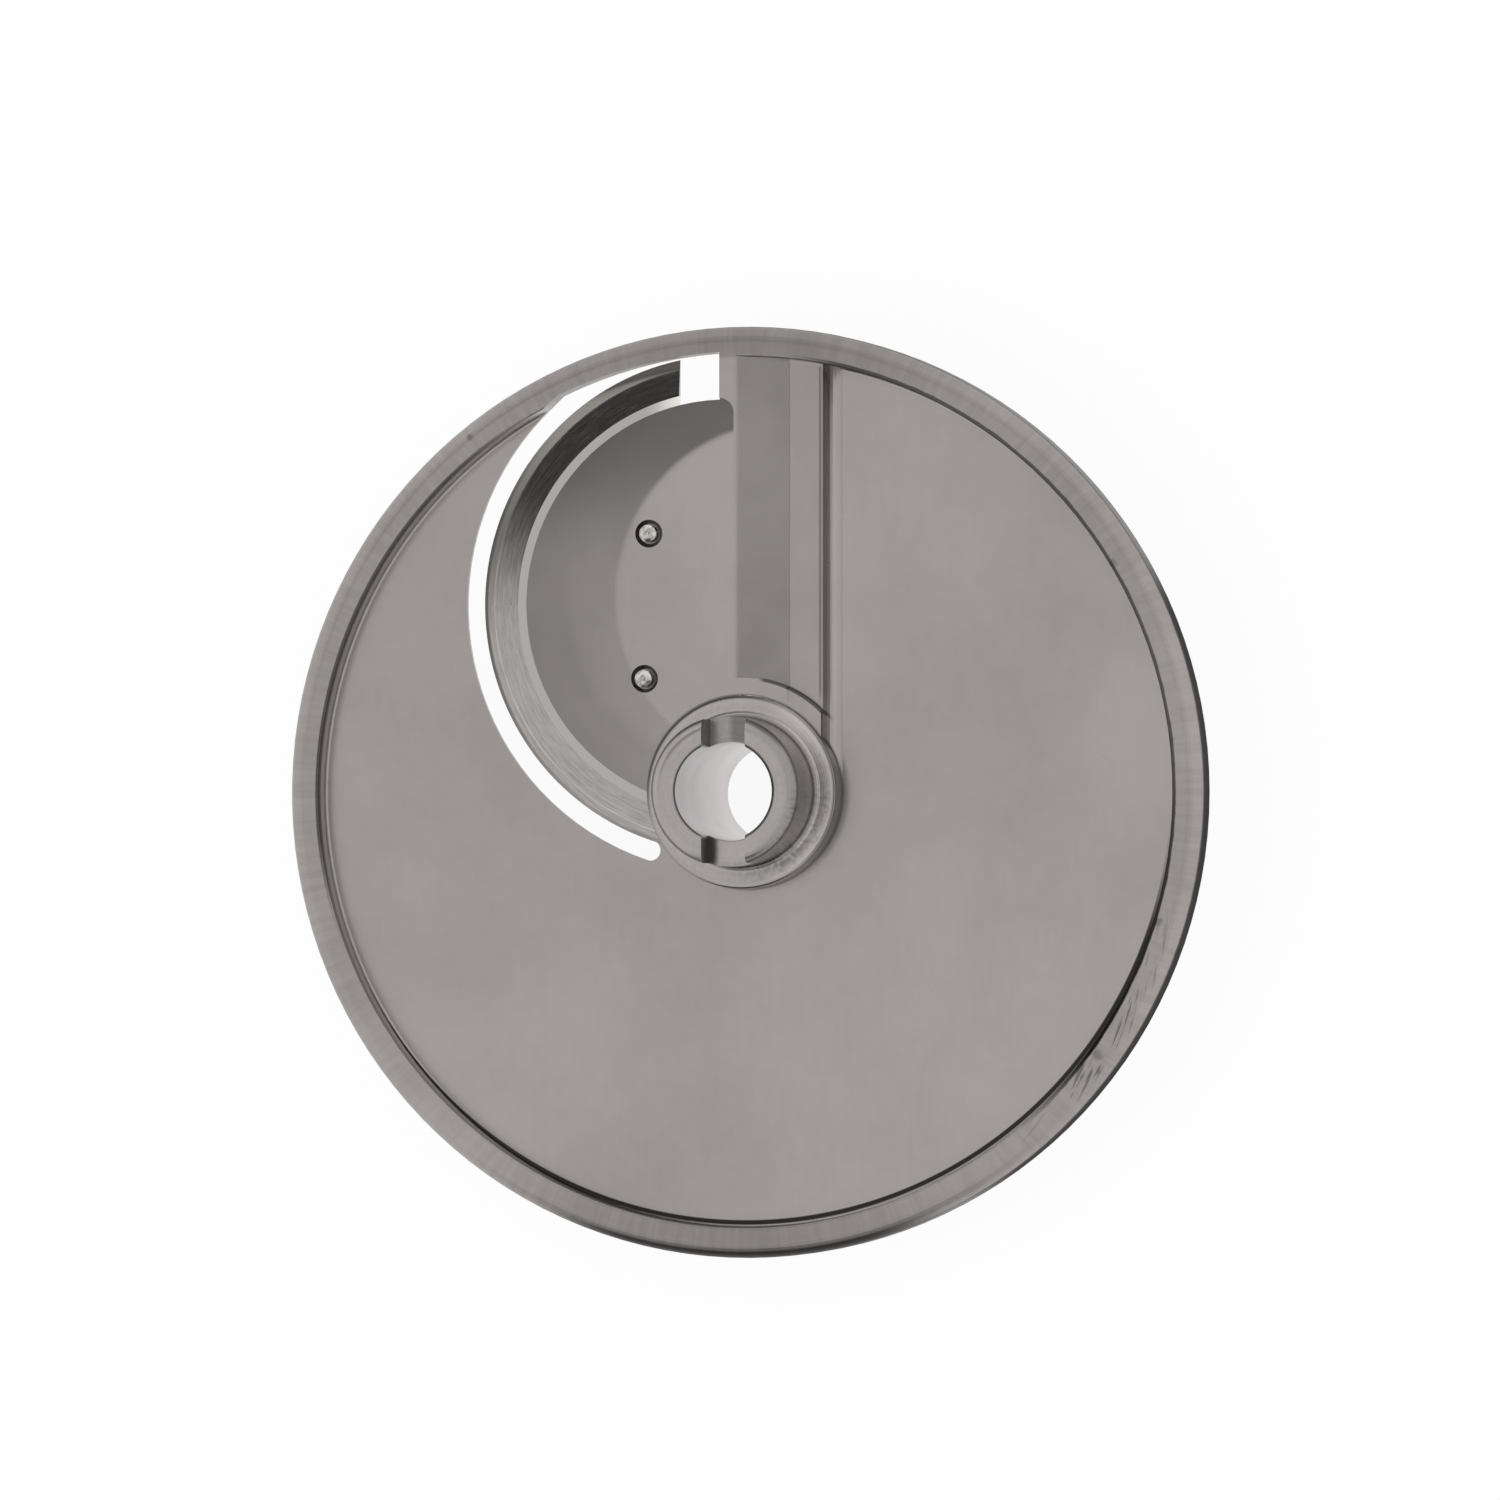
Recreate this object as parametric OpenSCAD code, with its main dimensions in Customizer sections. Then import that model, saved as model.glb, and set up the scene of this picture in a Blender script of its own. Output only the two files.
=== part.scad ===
// Slicing disc for a food processor: a pressed steel disc with a rolled rim, a curved blade riveted under
// its raised sector, and a turned hub that drops over the drive shaft.
// The hub's bore is the Z axis and the hub's foot stands at z = 0. The blade is on the -X +Y side.

/* [Disc] */
// Outside diameter of the disc
disc_d = 190; // [184:1:205]
// Thickness of the pressed sheet
sheet_t = 1.2; // [1:0.1:1.4]
// Width of the rim, from its outer edge to the wall of the pan
rim_w = 6.25; // [6:0.25:8]
// Height of the rim's outer skirt
skirt_h = 9; // [8:0.25:12]
// Radius of the rim's outer shoulder
shoulder_r = 3.2; // [2.5:0.1:4]
// Radius that eases the rim's inner edge
rim_edge_r = 0.5; // [0.3:0.1:0.9]
// Depth of the pan below the rim
pan_depth = 6; // [5.5:0.1:7]
// Fillet between the pan and the wall of the rim
pan_fillet_r = 0.6; // [0.4:0.1:1.5]

/* [Raised sector] */
// Width of the long ramp behind the blade
ramp_w = 11; // [9:0.5:13]
// Height that the ramp comes down
ramp_drop = 2.2; // [1.6:0.1:2.8]
// Radius of the soft bend at the head of the ramp
ramp_bend_r = 9; // [5:0.5:12]
// Width of the flat strip between the ramp and the step
strip_w = 6.9; // [5:0.1:8]
// Slope of the step down to the pan, in degrees
step_slope = 76; // [66:1:80]
// Fillet at the foot of the step
step_fillet_r = 3.5; // [2:0.1:4]
// Width of the flat seat that the sector keeps around the hub's collar
seat_w = 3.6; // [2.6:0.1:4.2]
// Distance from the step to the tangent of the collar
step_inset = 2.4; // [1.6:0.1:3.4]

/* [Blade] */
// How far the circle of the cutting edge, which starts at the rim, passes the disc's axis
blade_past = 12.25; // [10.5:0.25:14]
// Angle between the blade's centre line and the Y axis
blade_lean = 5.5; // [3:0.1:8]
// Thickness of the blade
blade_t = 1.5; // [1.3:0.1:1.7]
// Width of the blade's ground bevel
bevel_w = 7.25; // [6:0.25:8]
// Width of the honed facet at the edge
facet_w = 2; // [1.4:0.1:2.6]
// Thickness that the grinding leaves at the bevel's outer end, before the honed facet
facet_t = 0.62; // [0.5:0.02:0.8]
// Thickness of the cutting edge
edge_t = 0.12; // [0.1:0.02:0.2]
// Width of the blade's flat land that shows outside the sheet
land_w = 2; // [1.4:0.1:2.6]
// How far the blade reaches under the sheet, past the dish
blade_tuck = 8.5; // [7:0.25:10]
// Gap between the cutting edge and the pan's slot edge
slot_gap = 4.2; // [3.4:0.1:5]
// Width of the open corner past the blade's upper end
corner_w = 8.9; // [7.5:0.1:10]
// Width of flat sheet between the open corner and the ramp
corner_land_w = 3.2; // [2.4:0.1:4.4]

/* [Dish behind the blade] */
// Width of flat sheet, under which the rivets hold the blade, between the blade's upper end and the dish
dish_land_w = 12; // [11:0.25:14]
// Distance between the centres of the dish and the blade
dish_shift = 12.8; // [11.4:0.2:14.2]
// Slope of the dish, as a fall per unit of length
dish_fall = 0.07; // [0.05:0.005:0.08]
// Radius of the soft bend at the head of the dish
dish_bend_r = 20; // [10:5:60]
// Radius of the dish's blunt upper tip
dish_tip_r = 3; // [2:0.25:4]

/* [Rivets] */
// Diameter of a rivet's shank
rivet_d = 2.6; // [2.2:0.1:3]
// Diameter of a rivet's domed head
rivet_head_d = 3.5; // [3.3:0.1:3.9]
// Height of a rivet's domed head
rivet_head_h = 0.95; // [0.8:0.05:1.1]
// Diameter of the dimple in the sheet, at its mouth
dimple_d = 5.7; // [5.4:0.1:6.2]
// Distance of the upper rivet inside the dish's edge
rivet_upper_inset = 3.6; // [2:0.1:5]
// Distance of the lower rivet inside the dish's edge
rivet_lower_inset = 0.9; // [0.5:0.1:5]

/* [Hub] */
// Diameter of the bore for the drive shaft
bore_d = 20; // [18:0.5:21]
// Outside diameter of the hub's upper tube
tube_d = 30.5; // [29:0.5:33]
// Outside diameter of the hub's collar
collar_d = 39.4; // [38:0.2:43]
// Height of the collar's top above the rim
collar_rise = 1; // [0.6:0.1:1.6]
// Outside diameter of the hub's lower sleeve
sleeve_d = 27; // [25:0.5:29]
// Height of the hub's top above the rim
hub_rise = 19.5; // [16:0.5:24]
// Depth of the hub's foot below the rim
hub_drop = 35; // [30:0.5:40]
// Radius of the tube's upper shoulder
hub_shoulder_r = 2.2; // [1:0.1:2.5]
// Fillet between the tube and the collar
hub_fillet_r = 1.2; // [0.8:0.1:2.2]
// Radius that eases the collar's edge
collar_edge_r = 0.5; // [0.3:0.1:0.9]
// Width of the two notches that take the drive pin
notch_w = 9; // [7:0.25:10]
// Depth of the notches
notch_depth = 8; // [6:0.25:9]

/* [Hidden] */

// Clearance between pieces that fit into one another
fit_gap = 0.05;
// Overrun of every cut past the face that it opens
over = 1;
// Chamfer at the ends of the bore and at the hub's foot
hub_chamfer = 0.6;
// Gap between the blade's sweep and the rim's free edge
tip_gap = 0.35;
// Width of the rim's inner edge that the slot takes away
slot_bite = 1.1;
// Angles of the upper and lower rivets about the dish's centre, from the X axis
rivet_angles = [155.8, 209.9];
// Width of sheet between the slot's lower end and the hub's collar
slot_end_land = 1.75;
// Direction of the dish's centre as seen from the blade's centre
dish_angle = 7;
// Height of the dish's tip above the blade's centre, as a share of the sheet's edge radius
tip_height_share = 0.935;
// Height of a rivet's closed tail, as a share of its head's
tail_share = 0.8;
// Narrowing of the dimple from mouth to floor, as a share of its depth
dimple_taper_share = 0.55;
// Distance from the hub's axis to the sector's end walls, under the collar, as a share of its radius
end_share = 0.15;
// Clearance around the rivet's head on the floor of the dimple
head_gap = 0.15;

steel = "silver";
steel_dark = "darkgray";

rim_r = disc_d / 2;
pan_r = rim_r - rim_w;
slot_r = pan_r + slot_bite;
tube_r = tube_d / 2;
collar_r = collar_d / 2;
sleeve_r = sleeve_d / 2;
bore_r = bore_d / 2;

top_z = hub_drop;
pan_z = top_z - pan_depth;
skirt_z = top_z - skirt_h;
hub_z = top_z + hub_rise;
collar_z = top_z + collar_rise;

blade_r = (slot_r - tip_gap + blade_past) / 2;
blade_off = blade_r - blade_past;
blade_c = blade_off * [-sin(blade_lean), cos(blade_lean)];
sheet_edge_r = blade_r - bevel_w - land_w;
slot_edge_r = blade_r + slot_gap;
slot_mid_r = blade_r + slot_gap / 2;
slot_end_r = collar_r + slot_end_land + slot_gap / 2;

tip_y = blade_c.y + sheet_edge_r * tip_height_share;

step_x = collar_r - step_inset;
step_head_x = step_x - (pan_depth - ramp_drop) / tan(step_slope);
ramp_foot_x = step_head_x - strip_w;
ramp_x = ramp_foot_x - ramp_w;
ramp_angle = atan(ramp_drop / ramp_w);
corner_x = ramp_x - corner_land_w;
blade_end_x = corner_x - corner_w;
seat_r = collar_r + seat_w;
sector_end = collar_r * end_share;

dish_w = blade_end_x - dish_land_w - blade_c.x + sheet_edge_r;
dish_r = sheet_edge_r + dish_shift - dish_w;
dish_c = blade_c + dish_shift * [cos(dish_angle), sin(dish_angle)];
dish_depth = dish_fall * dish_w;
blade_top_z = top_z - sheet_t - dish_depth;
blade_z = blade_top_z - blade_t;

// Angle of a triangle's corner between its sides a and b, opposite its side c
function corner_angle(a, b, c) = acos((a * a + b * b - c * c) / (2 * a * b));

// A point on a circle round c
function on_circle(c, r, a) = c + r * [cos(a), sin(a)];

slot_end_angle = 270 + blade_lean - corner_angle(slot_mid_r, blade_off, slot_end_r);
rivet_insets = [rivet_upper_inset, rivet_lower_inset];
rivet_places = [for (i = [0, 1]) on_circle(dish_c, dish_r - rivet_insets[i], rivet_angles[i])];

// Points along an arc from angle a to angle b in n steps
function arc(c, r, a, b, n) = [for (i = [0 : n]) on_circle(c, r, a + (b - a) * i / n)];

function unit(v) = v / norm(v);

// The line of points p moved sideways by d, to the right of its direction of travel
function parallel(p, d) = [
    for (i = [0 : len(p) - 1])
        let (
            before = i == 0 ? p[1] - p[0] : p[i] - p[i - 1],
            after = i == len(p) - 1 ? before : p[i + 1] - p[i],
            n1 = unit([before.y, -before.x]),
            n2 = unit([after.y, -after.x])
        )
        p[i] + d * (n1 + n2) / (1 + n1 * n2)
];

// Section of the rolled rim: a solid of the rim's outer form, taken in by d on every side
module rim_block(d) {
    corner_r = shoulder_r - d;
    shoulder = arc([rim_r - shoulder_r, top_z - shoulder_r], corner_r, 0, 90, 8);
    floor_z = skirt_z - (d > 0 ? over : 0);
    rotate_extrude($fn = 180)
        polygon(concat([[0, floor_z], [rim_r - d, floor_z]], shoulder, [[0, top_z - d]]));
}

// Space of the pan, with its filleted floor and the rim's eased inner edge, let out by d
module pan_space(d) {
    edge_r = max(rim_edge_r - d, 0);
    foot_r = pan_fillet_r + d;
    wall_r = pan_r + d;
    foot = arc([wall_r - foot_r, pan_z - d + foot_r], foot_r, -90, 0, 5);
    edge = edge_r > 0
        ? arc([wall_r + edge_r, top_z - edge_r], edge_r, 180, 90, 4)
        : [[wall_r, top_z - d]];
    rotate_extrude($fn = 180)
        polygon(concat([[0, pan_z - d]], foot, edge, [edge[len(edge) - 1] + [0, over], [0, top_z + over]]));
}

// Surface line of the raised sector, from the blade's side to the pan
function sector_line() = let (
    bend_back = ramp_bend_r * tan(ramp_angle / 2),
    bend = arc([ramp_x - bend_back, top_z - ramp_bend_r], ramp_bend_r, 90, 90 - ramp_angle, 4),
    strip_z = top_z - ramp_drop,
    step_back = step_fillet_r * tan(step_slope / 2),
    foot = arc([step_x + step_back, pan_z + step_fillet_r], step_fillet_r, 270 - step_slope, 270, 6)
) concat([[-rim_r, top_z]], bend, [[ramp_foot_x, strip_z], [step_head_x, strip_z]], foot);

// Outline of the sector in plan. It runs past the sheet's own edge, which the slot then cuts, and its end
// walls lie inside the hub's collar.
module sector_plan(d) {
    past = (bevel_w + land_w) / 2 - d;
    intersection() {
        circle(r = pan_r + d + over, $fn = 180);
        translate([-rim_r, d - sector_end]) square([rim_r + collar_r + d, rim_r]);
        union() {
            translate(blade_c) circle(r = sheet_edge_r + past, $fn = 180);
            translate([corner_x - corner_w / 4 + d, blade_c.y])
                square([collar_r - corner_x + corner_w / 4, rim_r]);
            translate([0, d - sector_end]) square([collar_r, blade_c.y]);
        }
    }
}

// Body of the sector under its surface, with its ramp, strip and step, taken in by d
module sector_block(d) {
    line = parallel(sector_line(), d);
    floor_z = skirt_z - (d > 0 ? over : 0);
    first = line[0];
    last = line[len(line) - 1];
    intersection() {
        translate([0, 0, floor_z]) linear_extrude(top_z) sector_plan(d);
        translate([0, rim_r, 0]) rotate([90, 0, 0]) linear_extrude(disc_d)
            polygon(concat([[first.x, floor_z]], line, [[last.x, floor_z]]));
    }
    intersection() {
        translate([0, 0, floor_z]) cylinder(r = seat_r - d, h = top_z - d - floor_z, $fn = 120);
        translate([-rim_r, d - sector_end, floor_z]) cube([rim_r + step_head_x - d, rim_r, top_z]);
    }
}

// Space that the crescent dish takes out of the sector's top, moved down by d
module dish_space(d) {
    bend_angle = atan(dish_fall);
    bend_back = dish_bend_r * tan(bend_angle / 2);
    reach = rim_r;
    bend = arc([dish_r - bend_back, -dish_bend_r], dish_bend_r, 90, 90 - bend_angle, 6);
    foot = [reach, -dish_fall * (reach - dish_r)];
    intersection() {
        translate([dish_c.x, dish_c.y, top_z - d]) rotate_extrude($fn = 180)
            polygon(concat(bend, [foot, [reach, over], [bend[0].x, over]]));
        translate([0, 0, pan_z - d]) linear_extrude(pan_depth + 2 * over) {
            translate([corner_x - rim_r, -collar_r]) square([rim_r + dish_tip_r + d, collar_r + tip_y]);
            translate([corner_x - rim_r, -collar_r]) square([rim_r, collar_r + tip_y + dish_tip_r + d]);
            translate([corner_x, tip_y]) circle(r = dish_tip_r + d, $fn = 48);
        }
    }
}

// Dimples that bring the sheet down to the blade at each rivet: the space in them with no wall, or their
// body with the sheet's own thickness
module dimples(wall) {
    floor_r = dimple_d / 2 + wall - dish_depth * dimple_taper_share;
    h = dish_depth + (wall > 0 ? wall / 4 : over);
    for (p = rivet_places)
        translate([p.x, p.y, top_z - dish_depth - wall])
            cylinder(r1 = floor_r, r2 = floor_r + h * dimple_taper_share, h = h, $fn = 48);
}

// Everything under the disc's upper surface, taken in by d. The sheet is this block less its copy at sheet_t.
module pressed_block(d) {
    difference() {
        rim_block(d);
        pan_space(d);
    }
    difference() {
        sector_block(d);
        dish_space(d);
    }
}

// Plan of the slot between the pan's edge and the sector's sheet, with its open corner and rounded lower end
module slot_plan() {
    far = 2 * rim_r;
    difference() {
        intersection() {
            translate(blade_c) circle(r = slot_edge_r, $fn = 180);
            circle(r = slot_r, $fn = 180);
        }
        translate(blade_c) circle(r = sheet_edge_r, $fn = 180);
        translate([corner_x, 0]) square(far);
        polygon([blade_c, on_circle(blade_c, far, slot_end_angle), [far, -far], [far, blade_c.y]]);
    }
    translate(on_circle(blade_c, slot_mid_r, slot_end_angle)) circle(r = slot_gap / 2, $fn = 32);
}

module disc_plate() {
    color(steel) difference() {
        union() {
            difference() {
                pressed_block(0);
                pressed_block(sheet_t);
            }
            dimples(sheet_t);
        }
        dimples(0);
        translate([0, 0, skirt_z - over]) linear_extrude(skirt_h + 2 * over) slot_plan();
        translate([0, 0, pan_z]) cylinder(r = collar_r + fit_gap, h = pan_depth + over, $fn = 120);
        cylinder(r = sleeve_r + fit_gap, h = top_z, $fn = 96);
        for (p = rivet_places)
            translate([p.x, p.y, pan_z]) cylinder(r = rivet_d / 2 + fit_gap, h = pan_depth, $fn = 32);
    }
}

// The blade is a flat sickle, ground on its upper face, that lies under the sheet at its rivets.
module blade() {
    land_r = blade_r - bevel_w;
    facet_r = blade_r - facet_w;
    color(steel_dark) difference() {
        translate([blade_c.x, blade_c.y, blade_z]) rotate_extrude($fn = 180)
            polygon([
                [0, 0], [blade_r, 0], [blade_r, edge_t],
                [facet_r, facet_t], [land_r, blade_t], [0, blade_t]
            ]);
        translate([dish_c.x, dish_c.y, blade_z - over])
            cylinder(r = dish_r - blade_tuck, h = blade_t + 2 * over, $fn = 120);
        translate([blade_end_x, -rim_r, blade_z - over]) cube([disc_d, disc_d, blade_t + 2 * over]);
        translate([0, 0, blade_z - over])
            cylinder(r = collar_r + fit_gap, h = blade_t + 2 * over, $fn = 120);
        for (p = rivet_places)
            translate([p.x, p.y, blade_z - over])
                cylinder(r = rivet_d / 2 + fit_gap, h = blade_t + 2 * over, $fn = 32);
    }
}

// Half section of a domed head of radius r and height h that stands on z
function dome(r, h, z) = let (
    ball_r = (r * r + h * h) / (2 * h),
    start = asin((ball_r - h) / ball_r)
) arc([0, z + h - ball_r], ball_r, start, 90, 6);

module rivet(p) {
    floor_z = top_z - dish_depth;
    shank_r = rivet_d / 2;
    head_r = min(rivet_head_d / 2, dimple_d / 2 - dish_depth * dimple_taper_share - head_gap);
    tail = dome(head_r, rivet_head_h * tail_share, 0);
    color(steel) translate([p.x, p.y, 0]) rotate_extrude($fn = 48)
        polygon(concat(
            [[0, blade_z - rivet_head_h * tail_share]],
            [for (i = [len(tail) - 2 : -1 : 0]) [tail[i].x, blade_z - tail[i].y]],
            [[shank_r, blade_z], [shank_r, floor_z]],
            dome(head_r, rivet_head_h, floor_z)
        ));
}

module rivet_upper() {
    rivet(rivet_places[0]);
}

module rivet_lower() {
    rivet(rivet_places[1]);
}

// The hub is turned in one piece: foot, sleeve, collar and notched tube.
module hub() {
    shoulder = arc([tube_r - hub_shoulder_r, hub_z - hub_shoulder_r], hub_shoulder_r, 0, 90, 6);
    fillet = arc([tube_r + hub_fillet_r, collar_z + hub_fillet_r], hub_fillet_r, 270, 180, 5);
    edge = arc([collar_r - collar_edge_r, collar_z - collar_edge_r], collar_edge_r, 0, 90, 4);
    color(steel) difference() {
        rotate_extrude($fn = 120)
            polygon(concat(
                [[0, 0], [sleeve_r - hub_chamfer, 0], [sleeve_r, hub_chamfer], [sleeve_r, pan_z],
                 [collar_r, pan_z]],
                edge, fillet, shoulder, [[0, hub_z]]
            ));
        translate([0, 0, -over]) cylinder(r = bore_r, h = hub_z + 2 * over, $fn = 96);
        translate([0, 0, -over])
            cylinder(r1 = bore_r + hub_chamfer + over, r2 = bore_r, h = hub_chamfer + over, $fn = 96);
        translate([0, 0, hub_z - hub_chamfer])
            cylinder(r1 = bore_r, r2 = bore_r + hub_chamfer + over, h = hub_chamfer + over, $fn = 96);
        translate([-notch_w / 2, -collar_r, hub_z - notch_depth])
            cube([notch_w, collar_d, notch_depth + over]);
    }
}

disc_plate();
blade();
hub();
rivet_upper();
rivet_lower();
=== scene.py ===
"""Looks of a food processor's slicing disc: satin plate, ground sickle blade, turned hub and rivets."""

import math

import bmesh
import bpy
from bpy.props import FloatProperty, FloatVectorProperty, IntProperty, PointerProperty
from mathutils import Matrix, Vector


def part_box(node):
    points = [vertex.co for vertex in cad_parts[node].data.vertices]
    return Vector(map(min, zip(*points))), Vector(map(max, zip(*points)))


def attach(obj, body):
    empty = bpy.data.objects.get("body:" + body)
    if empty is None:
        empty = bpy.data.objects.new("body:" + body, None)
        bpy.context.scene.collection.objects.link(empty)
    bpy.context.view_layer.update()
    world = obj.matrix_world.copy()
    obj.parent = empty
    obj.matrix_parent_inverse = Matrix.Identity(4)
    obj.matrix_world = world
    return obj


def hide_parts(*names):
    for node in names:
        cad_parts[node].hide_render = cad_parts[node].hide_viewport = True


bl_info = {
    "name": "Slicing Disc",
    "version": (1, 0, 0),
    "blender": (4, 5, 0),
    "location": "3D View > Sidebar > Slicing Disc",
    "description": "Dresses the slicing disc in steel and sets up its studio",
    "category": "Object",
}

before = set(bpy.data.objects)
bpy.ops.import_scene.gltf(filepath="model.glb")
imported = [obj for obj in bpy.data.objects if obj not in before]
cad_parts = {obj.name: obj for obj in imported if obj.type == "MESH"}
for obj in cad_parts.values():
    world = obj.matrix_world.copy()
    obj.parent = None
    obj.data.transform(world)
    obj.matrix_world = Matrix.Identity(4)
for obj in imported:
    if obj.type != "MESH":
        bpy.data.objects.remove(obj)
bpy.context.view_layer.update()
MM = 0.001

PLATE_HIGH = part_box("disc_plate")[1]
BLADE_LOW, BLADE_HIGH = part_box("blade")
HUB_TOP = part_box("hub")[1].z
RIVET_BOXES = [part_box(name) for name in ("rivet_upper", "rivet_lower")]
RIM_RADIUS = PLATE_HIGH.x
RIM_TOP = PLATE_HIGH.z

# Radii, heights and places in plan that the boxes of the CAD's pieces don't give
SHEET = 1.2 * MM
PAN_TOP = RIM_TOP - 6.0 * MM
PAN_RADIUS = RIM_RADIUS - 6.25 * MM
BORE_RADIUS = 10.0 * MM
TUBE_RADIUS = 15.25 * MM
COLLAR_RADIUS = 19.7 * MM
SEAT_RADIUS = 23.3 * MM
NOTCH_DEPTH = 8.0 * MM
NOTCH_SIDE = 4.5 * MM
RAMP_HEAD_X = -1.55 * MM
STRIP_X = 9.45 * MM
STEP_X = 17.3 * MM
BEVEL = 7.25 * MM
FACET = 2.0 * MM

# Centres in plan: the hub's axis, and those of the dark lines at the pan's foot and edge
AXIS = (0.0, 0.0)
FOOT_CENTRE = (-0.9 * MM, 1.1 * MM)
EDGE_CENTRE = (-0.15 * MM, -0.05 * MM)

# Dents of the rim: direction in degrees, distance inwards from the edge and size, both in millimetres
RIM_DENTS = ((-36.0, 4.2, 2.2), (-17.0, 5.0, 1.6), (31.0, 5.6, 1.8), (128.0, 2.6, 1.2))

# Start, end and softness of the torn stretch of rim, in degrees
TORN_STRETCH = (-46.0, -20.0, 9.0)

# Points nearer than this are one, and edges sharper than this angle show
WELD = 0.001 * MM
SHARP = math.radians(50.0)
DOME_STEPS = 8

LAMP_LEAN = (-38.0, -20.0)
LAMP_DISTANCE = 2.0
LAMP_SIZE = 1.0
SENSOR_WIDTH = 36.0
CARD_LIFT = 0.5 * MM

BLACK = (0.0, 0.0, 0.0, 1.0)
WHITE = (1.0, 1.0, 1.0, 1.0)

# Sockets of a Mix node for colours and for vectors: low value, high value and result
MIX_SOCKETS = {"RGBA": (6, 7, 2), "VECTOR": (4, 5, 1)}


class Field:
    """A socket of a node tree that takes part in arithmetic."""

    def __init__(self, tree, socket):
        self.tree = tree
        self.socket = socket

    def _math(self, operation, *values):
        return self.tree.add("ShaderNodeMath", {"operation": operation}, values)

    def __add__(self, other):
        return self._math("ADD", self, other)

    def __radd__(self, other):
        return self._math("ADD", other, self)

    def __sub__(self, other):
        return self._math("SUBTRACT", self, other)

    def __rsub__(self, other):
        return self._math("SUBTRACT", other, self)

    def __mul__(self, other):
        return self._math("MULTIPLY", self, other)

    def __rmul__(self, other):
        return self._math("MULTIPLY", other, self)

    def __truediv__(self, other):
        return self._math("DIVIDE", self, other)

    def __rtruediv__(self, other):
        return self._math("DIVIDE", other, self)

    def __pow__(self, other):
        return self._math("POWER", self, other)

    def __abs__(self):
        return self._math("ABSOLUTE", self)

    def smooth(self, low, high):
        """Rises softly from 0 at low to 1 at high."""
        settings = {"interpolation_type": "SMOOTHSTEP", "clamp": True}
        inputs = {"Value": self, "From Min": low, "From Max": high}
        return self.tree.add("ShaderNodeMapRange", settings, inputs)

    def band(self, low, high, soft):
        """1 between low and high, with soft ends."""
        return self.smooth(low - soft, low + soft) * (1.0 - self.smooth(high - soft, high + soft))

    def rise(self, low, high, start=0.0):
        """Rises softly from 0 to 1 between two distances from start in millimetres."""
        return self.smooth(start + low * MM, start + high * MM)

    def fall(self, low, high, start=0.0):
        """Falls softly from 1 to 0 between two distances from start in millimetres."""
        return 1.0 - self.rise(low, high, start)

    def stripe(self, low, high, soft, start=0.0):
        """1 between two distances from start, with soft ends, all in millimetres but start."""
        return self.band(start + low * MM, start + high * MM, soft * MM)


class Tree:
    """A node tree that is filled by expressions."""

    def __init__(self, node_tree):
        self.nodes = node_tree.nodes
        self.links = node_tree.links
        self.nodes.clear()

    def node(self, kind, settings=None, inputs=()):
        """Adds a node, sets it and fills its sockets with values or fields."""
        node = self.nodes.new(kind)
        for name, value in (settings or {}).items():
            setattr(node, name, value)
        pairs = inputs.items() if isinstance(inputs, dict) else enumerate(inputs)
        for key, value in pairs:
            for part in value if isinstance(value, list) else [value]:
                if isinstance(part, Field):
                    self.links.new(part.socket, node.inputs[key])
                else:
                    node.inputs[key].default_value = part
        return node

    def add(self, kind, settings=None, inputs=(), output=0):
        """Adds a node and returns one of its outputs."""
        return Field(self, self.node(kind, settings, inputs).outputs[output])

    def place(self):
        return self.add("ShaderNodeTexCoord", output="Object")

    def split(self, vector):
        node = self.node("ShaderNodeSeparateXYZ", None, [vector])
        return [Field(self, node.outputs[axis]) for axis in range(3)]

    def join(self, x, y, z):
        return self.add("ShaderNodeCombineXYZ", None, [x, y, z])

    def offsets(self, centre):
        """Distances from an upright axis along X and Y."""
        return [part - middle for part, middle in zip(self.split(self.place()), centre)]

    def reach(self, centre=AXIS):
        """Distance from an upright axis."""
        x, y = self.offsets(centre)
        return (x * x + y * y) ** 0.5

    def turn(self, centre=AXIS):
        """Direction round an upright axis, in radians."""
        x, y = self.offsets(centre)
        return self.add("ShaderNodeMath", {"operation": "ARCTAN2"}, [y, x])

    def noise(self, vector, scale=1.0, detail=3.0, roughness=0.5):
        inputs = {"Vector": vector, "Scale": scale, "Detail": detail, "Roughness": roughness}
        return self.add("ShaderNodeTexNoise", None, inputs)

    def mix(self, kind, factor, low, high):
        """Goes from low to high, both colours or both vectors."""
        first, second, result = MIX_SOCKETS[kind]
        inputs = {0: factor, first: low, second: high}
        return self.add("ShaderNodeMix", {"data_type": kind}, inputs, output=result)

    def blend(self, factor, low, high):
        """Goes from colour low to colour high."""
        return self.mix("RGBA", factor, low, high)

    def mottled(self, colour, tone, spread):
        """A colour made darker and lighter by a share, where tone is below and above 0."""
        darker, lighter = shade(colour, 1.0 - spread), shade(colour, 1.0 + spread)
        return self.blend((tone + 0.5).smooth(0.0, 1.0), darker, lighter)

    def bump(self, height, distance):
        return self.add("ShaderNodeBump", None, {"Height": height, "Distance": distance})

    def steel(self, colour, roughness, normal):
        """Closes a material with a metal shader."""
        inputs = {"Base Color": colour, "Metallic": 1.0, "Roughness": roughness, "Normal": normal}
        shader = self.add("ShaderNodeBsdfPrincipled", None, inputs)
        self.node("ShaderNodeOutputMaterial", None, {"Surface": shader})


def new_material(name):
    material = bpy.data.materials.new(name)
    material.use_nodes = True
    return material, Tree(material.node_tree)


def shade(colour, share):
    """A colour made lighter or darker, as the four numbers of a socket."""
    return tuple(min(1.0, part * share) for part in colour) + (1.0,)


def dimmed(*marks):
    """Light that is left by marks, each a mask with the share of the light that it takes."""
    light = 1.0
    for mask, share in marks:
        light = light * (1.0 - mask * share)
    return light


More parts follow.
